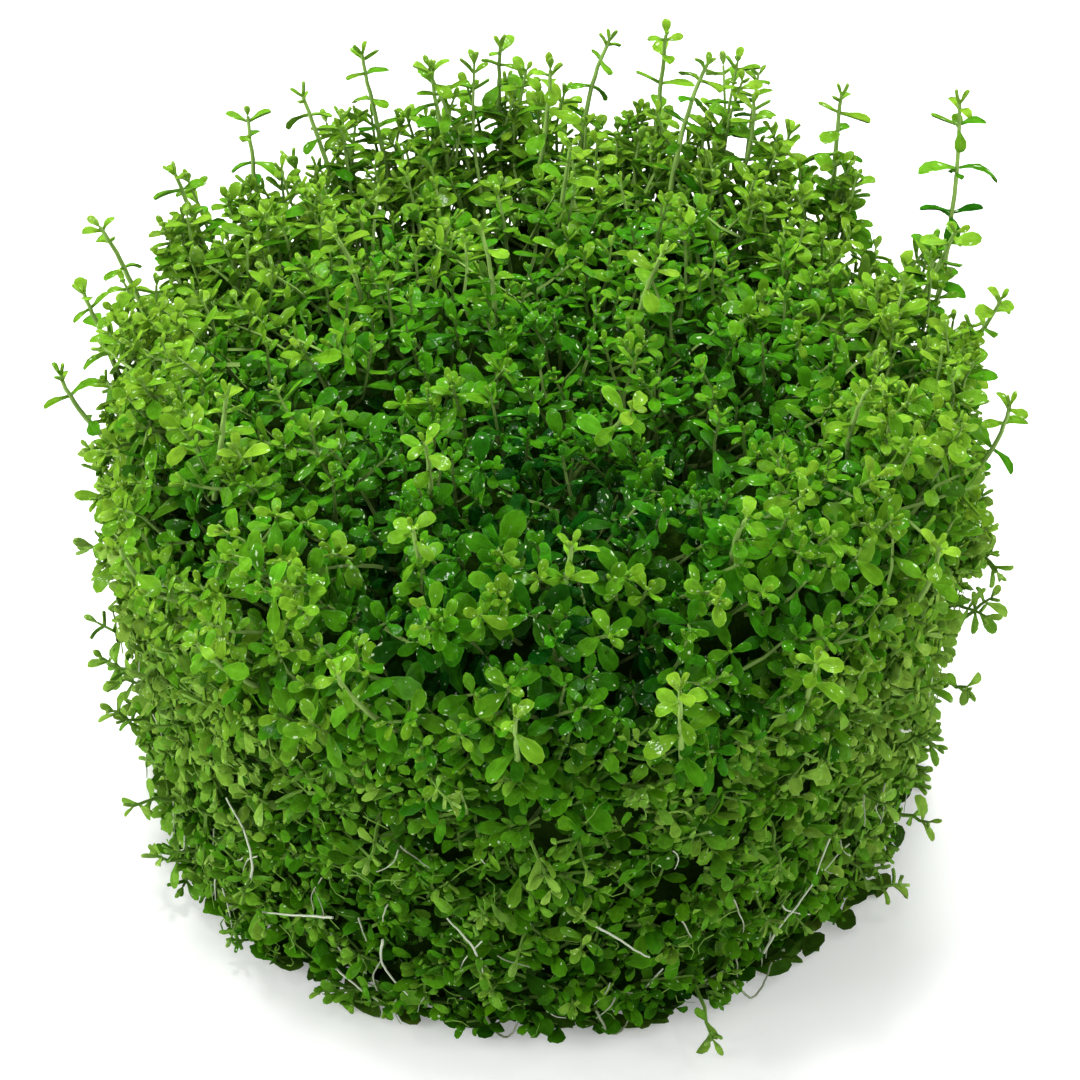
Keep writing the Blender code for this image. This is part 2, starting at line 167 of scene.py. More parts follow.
LEAF_RELIEF = 0.05 * MM
DRIER, WETTER = 0.16, 0.14
DROPS_TO_CELL = 8
DROP_SHARE = 0.65
DROP_HEIGHT = 0.13 * MM
# Painted glints: white spots in the leaf colour, their count, size, stretch, wave, white and
# strength.
GLINTS_TO_CELL = 5
GLINT_RADIUS = 0.26
GLINT_STRETCH = (1.5, 0.8, 0)
GLINT_WAVE = (0.1, 0.1, 0)
GLINT_WHITE = (0.66, 0.84, 0.50, 1)
GLINT_STRENGTH = 0.75
UNDERSIDE_RADIUS = 34.0 * MM
UNDERSIDE_LEAVES = 1700
UNDERSIDE_LEAF_REACH = 36.2 * MM
UNDERSIDE_LENGTHS = (2.4, 4.0)
UNDERSIDE_BREADTHS = (0.50, 0.62)
UNDERSIDE_LAYERS = 1.5 * MM
UNDERSIDE_LIFT = 0.2 * MM
UNDERSIDE_TONE, DEEP_PAINTED_SHADE = 0.75, 0.6
UNDERSIDE_RUNNERS = 100
RUNNER_LENGTHS = (6, 18)
FLOOR_DIP = 0.12 * MM
RUNNER_RADIUS = 0.24 * MM


def unit(vectors):
    """The vectors, each made one long."""
    return vectors / np.maximum(np.linalg.norm(vectors, axis=-1, keepdims=True), 1e-12)


def dot(first, second):
    return np.sum(first * second, axis=-1, keepdims=True)


def turned(vectors, axes, angles):
    """Each vector turned about its unit axis by its angle."""
    cosine, sine = np.cos(angles)[..., None], np.sin(angles)[..., None]
    across = np.cross(axes, vectors)
    return vectors * cosine + across * sine + axes * dot(axes, vectors) * (1 - cosine)


def square_to(ways, chance):
    """A random unit vector square to each way."""
    return unit(np.cross(ways, chance.normal(size=ways.shape)))


def outward(bearings):
    """The level unit vectors at these bearings."""
    return np.stack([np.cos(bearings), np.sin(bearings), np.zeros_like(bearings)], axis=-1)


def ball_form(sides, rings):
    """The triangles of a ball, each point's angle, and its ring from 0 at a pole to rings + 1."""
    form = bmesh.new()
    bmesh.ops.create_uvsphere(form, u_segments=sides, v_segments=rings + 1, radius=1)
    bmesh.ops.triangulate(form, faces=form.faces)
    points = np.array([vertex.co for vertex in form.verts])
    corners = np.array([[vertex.index for vertex in face.verts] for face in form.faces])
    form.free()
    ring = np.arccos(np.clip(points[:, 2], -1, 1)) / math.pi * (rings + 1)
    ring = np.rint(ring).astype(int)
    # The slack keeps an angle of nearly 0 from coming out as a full turn.
    angle = np.arctan2(points[:, 1], points[:, 0])
    angle = np.mod(angle - angle[ring == 1].min() + ANGLE_SLACK, TURN)
    return SimpleNamespace(ring=ring, angle=angle, corners=corners)


def leaf_form(rings, sides, outline):
    """A closed leaf: each point's share along, half width, side from -1 to 1, and skin, 1 on top.

    The outline is the share of the length where the leaf is widest, and the width of its foot.
    """
    widest, foot = outline
    ball = ball_form(sides, rings)
    inner = (ball.ring > 0) & (ball.ring <= rings)
    along = (1 - np.cos(math.pi * ball.ring / (rings + 1))) / 2
    near = foot + (1 - foot) * np.sin(math.pi / 2 * np.minimum(1, along / widest)) ** STALK_TAPER
    far = np.sqrt(np.clip(1 - ((along - widest) / (1 - widest)) ** 2, 0, 1))
    half = np.where(along < widest, near, far)
    side, skin = np.sin(ball.angle) * inner, np.cos(ball.angle) * inner
    side = side / side.max()
    below = skin[ball.corners].mean(axis=1) < 0
    across = CELL_EDGE + (side[ball.corners] + 1) / 2 * (0.5 - 2 * CELL_EDGE) + 0.5 * below[:, None]
    upward = CELL_EDGE + along[ball.corners] * (1 - 2 * CELL_EDGE)
    places = np.stack([across, upward], axis=-1)
    return SimpleNamespace(
        along=along, half=half, side=side, skin=skin, corners=ball.corners, places=places
    )


def strand_form(stations, sides):
    """A closed tube: each point's station and angle. The poles close its ends."""
    ball = ball_form(sides, stations)
    station = np.clip(ball.ring - 1, 0, stations - 1)
    inner = (ball.ring > 0) & (ball.ring <= stations)
    around = ball.angle[ball.corners] / TURN
    wraps = np.ptp(around, axis=1, keepdims=True) > 0.5
    around = np.minimum(np.where(wraps & (around < 0.5), around + 1, around), 1)
    across = CELL_EDGE + around * (1 - 2 * CELL_EDGE)
    upward = CELL_EDGE + station[ball.corners] / (stations - 1) * (1 - 2 * CELL_EDGE)
    places = np.stack([across, upward], axis=-1)
    return SimpleNamespace(
        station=station, inner=inner, angle=ball.angle, corners=ball.corners, places=places
    )


def leaf_points(form, base, way, face, length, width, cup, arch):
    """The points of many leaves, each a spoon along its way, cupped upwards and arched over."""
    across = unit(np.cross(face, way))
    face = unit(np.cross(way, across))
    half = form.half * width[:, None] / 2
    bend = np.where(np.abs(arch) < LEAST_ARCH, LEAST_ARCH, arch)[:, None]
    lift = cup[:, None] * np.abs(form.side) * half + form.skin * LEAF_THICKNESS / 2
    sine, cosine = np.sin(bend * form.along), np.cos(bend * form.along)
    run = sine / bend * length[:, None] + lift * sine
    rise = lift * cosine - (1 - cosine) / bend * length[:, None]
    aside = form.side * half
    parts = ((run, way), (aside, across), (rise, face))
    return base[:, None] + sum(amount[..., None] * axis[:, None] for amount, axis in parts)


def strand_points(form, line, radius, end_radius):
    """The points of many tubes, each about a line of one point for each station."""
    ways = unit(np.gradient(line, axis=1))
    chord = unit(line[:, -1] - line[:, 0])
    helper = unit(np.cross(chord, np.roll(chord, 1, axis=1) + 0.3))
    first = unit(np.cross(np.repeat(helper[:, None], line.shape[1], axis=1), ways))
    second = np.cross(ways, first)
    share = form.station / (line.shape[1] - 1)
    size = (radius[:, None] + (end_radius - radius)[:, None] * share) * form.inner
    around = first[:, form.station] * np.sin(form.angle)[:, None]
    around = around + second[:, form.station] * np.cos(form.angle)[:, None]
    return line[:, form.station] + around * size[..., None]


class Foliage:
    """Gathers the leaves and strands of a piece, and makes them one mesh with a map of cells."""

    def __init__(self):
        self.points, self.corners, self.places, self.total = [], [], [], 0

    def add(self, form, points, column, tone):
        """Adds a copy of the form for each set of points, in the cell of its column and tone."""
        row = np.clip(np.rint(tone * (CELLS - 1)), 0, CELLS - 1)
        first = self.total + np.arange(len(points)) * points.shape[1]
        self.points.append(points.reshape(-1, 3))
        self.corners.append((form.corners[None] + first[:, None, None]).reshape(-1))
        cell = np.stack([column, row], axis=-1)[:, None, None]
        self.places.append(((cell + form.places[None]) / CELLS).reshape(-1, 2))
        self.total += points.shape[0] * points.shape[1]

    def add_leaves(self, form, base, way, face, length, width, cup, arch, tone, chance):
        points = leaf_points(form, base, way, face, length, width, cup, arch)
        column = chance.integers(0, STEM_COLUMN, len(base))
        clear = points[..., 2].min(axis=1) > -FLOOR_DIP
        self.add(form, points[clear], column[clear], tone[clear])

    def add_strands(self, form, line, radius, end_radius, tone, chance):
        column = chance.integers(STEM_COLUMN, CELLS, len(line))
        self.add(form, strand_points(form, line, radius, end_radius), column, tone)

    def finish(self, name, material, slot, nodes=()):
        points, corners = np.concatenate(self.points), np.concatenate(self.corners)
        points[:, 2] = np.maximum(points[:, 2], LEAST_HEIGHT)
        mesh = bpy.data.meshes.new(name)
        mesh.vertices.add(len(points))
        mesh.vertices.foreach_set("co", points.astype(np.float32).ravel())
        mesh.loops.add(len(corners))
        mesh.loops.foreach_set("vertex_index", corners.astype(np.int32))
        mesh.polygons.add(len(corners) // 3)
        mesh.polygons.foreach_set("loop_start", np.arange(0, len(corners), 3, dtype=np.int32))
        mesh.update(calc_edges=True)
        layer = mesh.uv_layers.new(name="OFBake")
        layer.uv.foreach_set("vector", np.concatenate(self.places).astype(np.float32).ravel())
        mesh.shade_smooth()
        mesh.set_sharp_from_angle(angle=SHARP_ANGLE)
        mesh.materials.append(material)
        piece = bpy.data.objects.new(name, mesh)
        bpy.context.scene.collection.objects.link(piece)
        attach(piece, "root")
        if nodes:
            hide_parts(*nodes)


def leaf_material(name, colours, roughness, glint_share):
    """Leaves and stems coloured by the cell of the map they lie in.

    The colours are of the darkest, middle and brightest tones, which the rows run through, and of
    stems.
    A leaf's tone is partly its own colour and partly painted light and shade.
    """
    material, tree, shader = new_material(name, roughness)
    deep, middle, bright, stem = colours

    def math_of(operation, first, second=0.0, clamp=False):
        inputs = {0: first, 1: second}
        return add_node(tree, "Math", inputs, operation=operation, use_clamp=clamp).outputs[0]

    def times(first, second, clamp=False):
        return math_of("MULTIPLY", first, second, clamp)

    def minus(first, second, clamp=False):
        return math_of("SUBTRACT", first, second, clamp)

    def vector_of(operation, *values):
        inputs = dict(enumerate(values))
        return add_node(tree, "VectorMath", inputs, operation=operation).outputs[0]

    def pattern(kind, vector, **inputs):
        flat = {kind + "_dimensions": "2D"}
        return add_node(tree, "Tex" + kind.title(), {"Vector": vector, **inputs}, **flat).outputs

    def ranged(value, span, low=0.0, high=1.0):
        inputs = {"Value": value, "From Min": low, "From Max": high}
        inputs |= {"To Min": span[0], "To Max": span[1]}
        return add_node(tree, "MapRange", inputs).outputs[0]

    def shaded(colour, light, hue=0.5, saturation=1.0):
        inputs = {"Hue": hue, "Saturation": saturation, "Value": light, "Color": colour}
        return add_node(tree, "HueSaturation", inputs).outputs[0]

    def blended(share, first, second):
        inputs = {"Factor": share, "A": first, "B": second}
        return add_node(tree, "Mix", inputs, data_type="RGBA").outputs["Result"]

    place = add_node(tree, "UVMap", uv_map="OFBake").outputs["UV"]
    scaled = vector_of("MULTIPLY", place, (CELLS, CELLS, 0))
    cell, local = vector_of("FLOOR", scaled), vector_of("FRACTION", scaled)
    cell_axes = add_node(tree, "SeparateXYZ", {0: cell}).outputs
    local_axes = add_node(tree, "SeparateXYZ", {0: local}).outputs
    tone = math_of("DIVIDE", cell_axes["Y"], CELLS - 1)
    ramp = add_node(tree, "ValToRGB", {"Fac": tone})
    ramp.color_ramp.elements[0].color = (*deep, 1)
    ramp.color_ramp.elements[1].color = (*bright, 1)
    ramp.color_ramp.elements.new(0.5).color = (*middle, 1)
    luck = add_node(tree, "TexWhiteNoise", {"Vector": cell}, noise_dimensions="2D").outputs
    spots = pattern("noise", scaled, Scale=SPOT_SCALE, Detail=3)["Fac"]
    grain = pattern("noise", scaled, Scale=GRAIN_SCALE, Detail=1)

    # The midrib is 0 in the middle of either half of a cell, and its margins are 1.
    halves = math_of("FRACT", times(local_axes["X"], 2))
    across = times(math_of("ABSOLUTE", minus(halves, 0.5)), 2 / (1 - 4 * CELL_EDGE))
    rib = times(minus(RIB_HALF, across), RIB_SOFTNESS, clamp=True)
    rib = times(rib, minus(1, local_axes["Y"]))
    # The paler margin is partly the leaf's own paler edge, partly painted light through its thin
    # edge.
    margin = times(minus(across, MARGIN_FROM), MARGIN_SOFTNESS, clamp=True)
    stalk = times(minus(STALK_SHARE, local_axes["Y"]), STALK_SOFTNESS, clamp=True)
    pale = math_of("MAXIMUM", math_of("MAXIMUM", rib, margin), stalk)

    light = ranged(luck["Color"], LIGHT_RANGE)
    colour = shaded(ramp.outputs["Color"], light, hue=ranged(luck["Value"], HUE_RANGE))
    paler = shaded(colour, PALE_LIGHT, saturation=0.95)
    colour = blended(times(pale, PALE_SHARE), colour, paler)
    mottle = ranged(spots, MOTTLE_RANGE, 0.3, 0.7)
    colour = shaded(colour, mottle)
    underside = shaded(colour, 1.08, saturation=0.96)
    colour = blended(math_of("GREATER_THAN", local_axes["X"], 0.5), colour, underside)
    # Each channel is divided by 1 + LEAF_SHOULDER times itself, so that no leaf turns glaring.
    shoulder = vector_of("MULTIPLY_ADD", colour, LEAF_SHOULDER, (1, 1, 1))
    colour = vector_of("DIVIDE", colour, shoulder)

    # Painted glints: a few white spots painted into each leaf's colour and drawn out along it, for
    # glints of water; and fine drops in the clear coat.
    stretched = vector_of("MULTIPLY", scaled, GLINT_STRETCH)
    wavy = vector_of("MULTIPLY_ADD", grain["Color"], GLINT_WAVE, stretched)
    glint_cells = pattern("voronoi", wavy, Scale=GLINTS_TO_CELL)
    glint_luck = add_node(tree, "SeparateColor", {0: glint_cells["Color"]}).outputs
    glint_size = times(math_of("ADD", glint_luck[1], 0.25), GLINT_RADIUS)
    glint = times(minus(glint_size, glint_cells["Distance"]), 9, clamp=True)
    glint = times(glint, math_of("LESS_THAN", glint_luck[0], glint_share))
    colour = blended(times(glint, GLINT_STRENGTH), colour, GLINT_WHITE)
    stem_colour = shaded((*stem, 1), ranged(tone, STEM_LIGHT_RANGE))
    stem_colour = shaded(stem_colour, mottle)
    is_stem = math_of("GREATER_THAN", cell_axes["X"], STEM_COLUMN - 0.5)
    tree.links.new(blended(is_stem, colour, stem_colour), shader.inputs["Base Color"])

    wetness = ranged(spots, (roughness - WETTER, roughness + DRIER), 0.35, 0.65)
    tree.links.new(wetness, shader.inputs["Roughness"])
    height = minus(grain["Fac"], times(rib, 0.6))
    inputs = {"Height": height, "Strength": 0.5, "Distance": LEAF_RELIEF}
    bump = add_node(tree, "Bump", inputs).outputs["Normal"]
    tree.links.new(bump, shader.inputs["Normal"])
    drops = pattern("voronoi", scaled, Scale=DROPS_TO_CELL)
    drop_luck = add_node(tree, "SeparateColor", {0: drops["Color"]}).outputs[0]
    dome = minus(1, times(drops["Distance"], 2.4), clamp=True)
    dome = times(dome, math_of("GREATER_THAN", drop_luck, 1 - DROP_SHARE))
    inputs = {"Height": dome, "Strength": 1.0, "Distance": DROP_HEIGHT, "Normal": bump}
    wet = add_node(tree, "Bump", inputs).outputs["Normal"]
    tree.links.new(wet, shader.inputs["Coat Normal"])
    return material, shader


PRESSED_COLOURS = (
    (0.008, 0.034, 0.001), (0.040, 0.120, 0.003), (0.110, 0.230, 0.010), (0.26, 0.33, 0.10),
)
pressed_leaf, pressed_shader = leaf_material(
    "pressed_leaf", PRESSED_COLOURS, roughness=0.48, glint_share=0.02
)

fine_leaf, plain_leaf = leaf_form(5, 4, SPOON), leaf_form(4, 3, SPOON)
round_leaf, small_leaf = leaf_form(4, 3, ROUND), leaf_form(3, 3, ROUND)
thin_strand, short_strand = strand_form(4, 3), strand_form(5, 5)
LONG_STATIONS = 14
long_strand = strand_form(LONG_STATIONS, 6)

chance = np.random.default_rng(11)
underside = Foliage()
count = UNDERSIDE_LEAVES
bearings = chance.uniform(0, TURN, count)
reach = UNDERSIDE_LEAF_REACH * np.sqrt(chance.uniform(0, 1, count))
depth = chance.uniform(0, 1, count) ** 1.3 * UNDERSIDE_LAYERS + UNDERSIDE_LIFT
base = outward(bearings) * reach[:, None] + np.array([0, 0, 1]) * depth[:, None]
way = outward(chance.uniform(0, TURN, count))
way[:, 2] = chance.uniform(-0.02, 0.12, count)
way = unit(way)
down = np.array([0, 0, -1.0])
face = unit(down + chance.normal(0, 0.14, base.shape))
length = chance.uniform(*UNDERSIDE_LENGTHS, count) * MM
tip_reach = np.linalg.norm((base + way * length[:, None])[:, :2], axis=1)
inside = tip_reach < UNDERSIDE_LEAF_REACH
base, way, face, length, depth = (values[inside] for values in (base, way, face, length, depth))
count = len(length)
width = length * chance.uniform(*UNDERSIDE_BREADTHS, count)
# Leaves higher in the pressed layers are darker: partly older leaves, partly painted shade.
tone = UNDERSIDE_TONE - depth / UNDERSIDE_LAYERS * DEEP_PAINTED_SHADE + chance.normal(0, 0.15, count)
cup, arch = chance.uniform(-0.05, 0.12, count), chance.uniform(-0.1, 0.15, count)
underside.add_leaves(round_leaf, base, way, face, length, width, cup, arch, tone, chance)


def wandering(start, way, face, length, stations, bend, chance):
    """Lines that set out along way, keep to the surface square to face, and wander aside."""
    step = length / (stations - 1)
    points, turn = [start], chance.normal(0, bend, len(start))
    for _ in range(stations - 1):
        turn = 0.6 * turn + chance.normal(0, bend, len(start))
        way = turned(way, face, turn)
        points.append(points[-1] + way * step[:, None])
    return np.stack(points, axis=1)


count = UNDERSIDE_RUNNERS
bearings = chance.uniform(0, TURN, count)
reach = UNDERSIDE_RADIUS * 0.9 * np.sqrt(chance.uniform(0, 1, count))
start = outward(bearings) * reach[:, None]
start[:, 2] = chance.uniform(0.3, 1.2, count) * MM
way = outward(bearings + math.pi + chance.normal(0, 0.8, count))
length = chance.uniform(*RUNNER_LENGTHS, count) * MM
line = wandering(start, way, down, length, LONG_STATIONS, 0.1, chance)
line_reach = np.linalg.norm(line[..., :2], axis=2, keepdims=True)
line[..., :2] *= np.minimum(1, UNDERSIDE_RADIUS / line_reach)
radius = RUNNER_RADIUS * chance.uniform(0.5, 1, count)
tone = chance.uniform(0.3, 1, count)
underside.add_strands(long_strand, line, radius, radius * TAPER, tone, chance)
underside.finish("underside", pressed_leaf, "leaf_green")


# The wall: runners that crept along the inside of the cup, with their leaves pressed against it.
# They lie in several layers, every leaf at its own slant, painted duller and darker toward the foot
# and in the deeper layers, lighter on the left and right sides: painted shade and light.
GOLDEN_ANGLE = math.pi * (3 - math.sqrt(5))
WALL_RUNNERS = 2080
LOWER_CLOSER = 1.12
WALL_TOP = 36 * MM
WALL_INSET = 1.7 * MM
FULL_INSET_HEIGHT = 14 * MM
WALL_LAYERS = 2.6 * MM
WALL_RUNNER_LENGTHS = (2.6, 5.2)
WALL_RUNNER_RADIUS = 0.18 * MM
WALL_RUNNER_SUNK = 0.3 * MM
WALL_LENGTHS = (1.4, 2.0, 2.4)
WALL_BREADTHS = (0.40, 0.62)
WALL_OPENINGS = (0.7, 1.0, 1.25)
WALL_STATIONS = (3, 2, 1)
LEVEL_SHARE = 0.5
LOW_LENGTHS = 0.7
FINE_DEPTH = 1.1 * MM
# Painted light and shade: the base tone, brighter higher up and at the sides, darker deeper in.
WALL_TONE, TOP_PAINTED_LIGHT, SIDE_PAINTED_LIGHT, INNER_PAINTED_SHADE = 0.33, 0.28, 0.50, 0.34
WALL_THREADS = 480
THREAD_RADIUS = 0.075 * MM
HOLLOWS = ((-46, 4, 1.9), (-25, 8, 1.3), (190, 40, 1.4), (-170, 26, 0.6), (-15, 32, 0.5))
HOLLOW_BEARING = 20
HOLLOW_HEIGHT = 8
WALL_COLOURS = (
    (0.007, 0.046, 0.001), (0.056, 0.245, 0.002), (0.228, 0.510, 0.038), (0.15, 0.30, 0.045),
)
wall_leaf, wall_shader = leaf_material("wall_leaf", WALL_COLOURS, roughness=0.46, glint_share=0.06)


def wall_seats(bearings, heights, inset=0.0):
    """The points of the clump's side, drawn in by the inset and the wall's hollows."""
    points = []
    for bearing, height in zip(bearings, heights):
        out = Vector((math.cos(bearing), math.sin(bearing), 0))
        hit = clump_surface.ray_cast(out * 0.1 + Vector((0, 0, height)), -out)[0]
        depth = inset * min(1, height / FULL_INSET_HEIGHT)
        for hollow_bearing, hollow_height, hollow_depth in HOLLOWS:
            turn = (math.degrees(bearing) - hollow_bearing + 180) % 360 - 180
            apart = (turn / HOLLOW_BEARING) ** 2
            apart += ((height / MM - hollow_height) / HOLLOW_HEIGHT) ** 2
            depth += hollow_depth * MM * math.exp(-apart)
        points.append(hit - out * depth)
    return np.array(points)


def leaning(out, lean):
    """The ways along the wall that lean over sideways from upright."""
    return up * np.cos(lean)[:, None] + np.cross(up, out) * np.sin(lean)[:, None]


def evenly_spread(count, wobble, chance):
    """Bearings a golden angle apart and a little off, and each one's share of the count."""
    numbers = np.arange(count)
    bearings = np.mod(numbers * GOLDEN_ANGLE + chance.normal(0, wobble, count), TURN)
    return bearings, (numbers + 0.5) / count


up = np.array([0, 0, 1.0])
chance = np.random.default_rng(23)
wall_strand, wall_form = strand_form(2, 3), leaf_form(4, 4, SPOON)
bearings, share = evenly_spread(WALL_RUNNERS, 0.02, chance)
heights = share**LOWER_CLOSER * WALL_TOP
heights = np.clip(heights + chance.normal(0, 1.5 * MM, WALL_RUNNERS), 0.3 * MM, WALL_TOP)
seats = wall_seats(bearings, heights, WALL_INSET)
out = outward(bearings)
depth = chance.uniform(0, 1, WALL_RUNNERS) * WALL_LAYERS - 0.3 * MM
lean = chance.normal(0, 1.1, WALL_RUNNERS)
way = unit(leaning(out, lean) + out * chance.normal(0.1, 0.2, WALL_RUNNERS)[:, None])
start = seats - out * depth[:, None]
runner_length = chance.uniform(*WALL_RUNNER_LENGTHS, WALL_RUNNERS) * MM
line = wandering(start, way, out, runner_length, 4, 0.25, chance)
# Painted light and shade in the runners' tone: brighter higher up and on the left and right sides;
# darker in the deeper layers, partly painted shade and partly the older leaves' own darker green.
runner_tone = WALL_TONE + TOP_PAINTED_LIGHT * (heights / WALL_TOP)
runner_tone += SIDE_PAINTED_LIGHT * np.cos(bearings) ** 2
runner_tone -= INNER_PAINTED_SHADE * depth / WALL_LAYERS
runner_tone += chance.normal(0, 0.12, WALL_RUNNERS)
wall_front, wall_back = Foliage(), Foliage()
facing_front = np.sin(bearings) < 0
near_light = depth < FINE_DEPTH
wall_groups = (
    (wall_front, facing_front & near_light, wall_form),
    (wall_front, facing_front & ~near_light, small_leaf),
    (wall_back, ~facing_front & near_light, wall_form),
    (wall_back, ~facing_front & ~near_light, small_leaf),
)
for piece, members, form in wall_groups:
    count, away, path = members.sum(), out[members], line[members]
    thin = np.full(count, WALL_RUNNER_RADIUS)
    sunk = path - away[:, None] * WALL_RUNNER_SUNK
    piece.add_strands(wall_strand, sunk[:, ::3], thin, thin * 0.7, runner_tone[members], chance)
    for pair, station in enumerate(WALL_STATIONS):
        runner_way = unit(path[:, min(station + 1, 3)] - path[:, station - 1])
        for hand in (-1, 1):
            open_angle = chance.normal(WALL_OPENINGS[pair], 0.3, count) * hand
            leaf_way = turned(runner_way, away, open_angle)
            leaf_way = unit(leaf_way + away * chance.normal(0.12, 0.3, count)[:, None])
            face = unit(away + up * 0.25 + chance.normal(0, 0.42, leaf_way.shape))
            level = (chance.uniform(size=count) < LEVEL_SHARE)[:, None]
            level_way = unit(leaf_way * np.array([1, 1, 0.25]) + away * 0.2)
            level_face = unit(up + away * 0.25 + chance.normal(0, 0.4, leaf_way.shape))
            leaf_way = np.where(level, level_way, leaf_way)
            face = np.where(level, level_face, face)
            length = WALL_LENGTHS[pair] * chance.uniform(0.65, 1.2, count) * MM
            low = path[:, station, 2] < LOW_LENGTHS * length
            leaf_way[:, 2] = np.where(low, 0.4 * np.abs(leaf_way[:, 2]), leaf_way[:, 2])
            leaf_way = unit(leaf_way)
            face = np.where(low[:, None], unit(face * 0.6 + up), face)
            width = length * chance.uniform(*WALL_BREADTHS, count)
            tone = runner_tone[members] + 0.08 - 0.06 * pair + chance.normal(0, 0.09, count)
            cup = chance.uniform(-0.1, 0.5, count)
            arch = np.where(low, chance.uniform(-0.4, 0.1, count), chance.uniform(-0.5, 1.3, count))
            seat = path[:, station]
            piece.add_leaves(form, seat, leaf_way, face, length, width, cup, arch, tone, chance)
count = WALL_THREADS
bearings = chance.uniform(0, TURN, count)
heights = chance.uniform(0.5, 35, count) * MM
out = outward(bearings)
seats = wall_seats(bearings, heights, WALL_INSET)
start = seats + out * (chance.uniform(0.2, 1.5, count) * MM)[:, None]
lean = chance.normal(0, 0.5, count) + chance.choice([-1, 1], count) * math.pi / 2
length = chance.uniform(1.2, 3.6, count) * MM
line = wandering(start, unit(leaning(out, lean)), out, length, 4, 0.45, chance)
line[..., 2] = np.maximum(line[..., 2], 0.2 * MM)
thread_tone = chance.uniform(0.5, 1, count)
facing_front = np.sin(bearings) < 0
for piece, members in ((wall_front, facing_front), (wall_back, ~facing_front)):
    radius = THREAD_RADIUS * chance.uniform(0.7, 1.3, members.sum())
    tone = thread_tone[members]
    piece.add_strands(thin_strand, line[members], radius, radius * 0.5, tone, chance)
wall_front.finish("wall_front", wall_leaf, "leaf_green")
wall_back.finish("wall_back", wall_leaf, "leaf_green")


# The canopy: upright shoots that grew free above the rim of the cup, some proud of the rest.
# Each is a thin stem with opposite pairs of leaves, every pair a quarter turn from the last.
TOP_SHOOTS = 900
SIDE_SHOOTS = 760
PROUD_SHARE = 0.45
TOP_REACH = 37.5 * MM
SIDE_LOW = 32 * MM
SIDE_HIGH = 46.5 * MM
SHOOT_DEPTH = 7.5 * MM
FOOT_DEPTH = 5.0 * MM
FOOT_REACH = 36.0 * MM
STEM_RADIUS = 0.22 * MM
SIDE_INSET = 1.7
LUMP_SIZE = 5.5 * MM
PROUD_RISES, LOW_RISES = (-1.0, 1.2), (-5.0, -1.4)
# Painted light and shade in the canopy's tone: the middle and reach of the front's painted shade,
# the lean of the sides' painted light toward the left, and the amounts of each.
FRONT_X, FRONT_Y, FRONT_REACH = 1.0, -25.0, 16.0
LEFT_LIGHT = 0.16
CANOPY_TONE, RISE_PAINTED_LIGHT, LUMP_PAINTED_LIGHT = 0.44, 0.085, 0.15
ASIDE_PAINTED_LIGHT, BEHIND_PAINTED_LIGHT, FRONT_PAINTED_SHADE = 0.32, 0.58, 0.44
TIP_BRIGHTER, PAIR_DARKER = 0.22, 0.12
LEAF_BREADTH = 0.44
LEAST_SHARE = 0.02
CANOPY_DROOP = 0.8
CANOPY_PAIRS = ((0.0, 1.2, 34), (0.65, 2.0, 58), (1.7, 2.7, 72), (3.1, 3.0, 84))
LOW_PAIRS = 3
LIGHT_PULL = np.array([0.0, -0.41, 0.91]) * 0.22
POCKETS = (
    (-44, 15, 46), (101, 19, 47), (-118, 31, 46), (-78, 33, 45),
    (165, 30, 46), (30, 33, 46), (-160, 15, 46), (-76, 40, 36),
)
POCKET_REACH = 4.5 * MM
FRESH_COLOURS = (
    (0.003, 0.042, 0.001), (0.044, 0.245, 0.002), (0.185, 0.460, 0.016), (0.24, 0.40, 0.09),
)
WATER_ROUGHNESS, WATER_IOR, LEAF_GLOSS = 0.10, 1.33, 0.05
fresh_leaf, fresh_shader = leaf_material(
    "fresh_leaf", FRESH_COLOURS, roughness=0.40, glint_share=0.13
)
for shader, wetness in ((fresh_shader, 0.8), (wall_shader, 0.5), (pressed_shader, 0.2)):
    shader.inputs["Specular IOR Level"].default_value = LEAF_GLOSS
    shader.inputs["Coat Weight"].default_value = wetness
    shader.inputs["Coat Roughness"].default_value = WATER_ROUGHNESS
    shader.inputs["Coat IOR"].default_value = WATER_IOR


def top_seats(bearings, reach):
    """The points of the canopy straight below."""
    points = []
    for bearing, distance in zip(bearings, reach):
        above = Vector((math.cos(bearing) * distance, math.sin(bearing) * distance, 0.1))
        points.append(clump_surface.ray_cast(above, Vector((0, 0, -1)))[0])
    return np.array(points)


def bent_lines(foot, knee, tip, stations, wobble, chance):
    """Curved lines from foot to tip, pulled toward the knee, with a wobble between the ends."""
    share = np.linspace(0, 1, stations)[None, :, None]
    foot, knee, tip = foot[:, None], knee[:, None], tip[:, None]
    line = (1 - share) ** 2 * foot + 2 * share * (1 - share) * knee + share**2 * tip
    line[:, 1:-1] += chance.normal(0, wobble, line[:, 1:-1].shape)
    return line


def along_lines(line, share):
    """The point and way of each line at its share of the length."""
    place = share * (line.shape[1] - 1)
    low = np.minimum(place.astype(int), line.shape[1] - 2)
    rows = np.arange(len(line))
    near, far = line[rows, low], line[rows, low + 1]
    return near + (far - near) * (place - low)[:, None], unit(far - near)


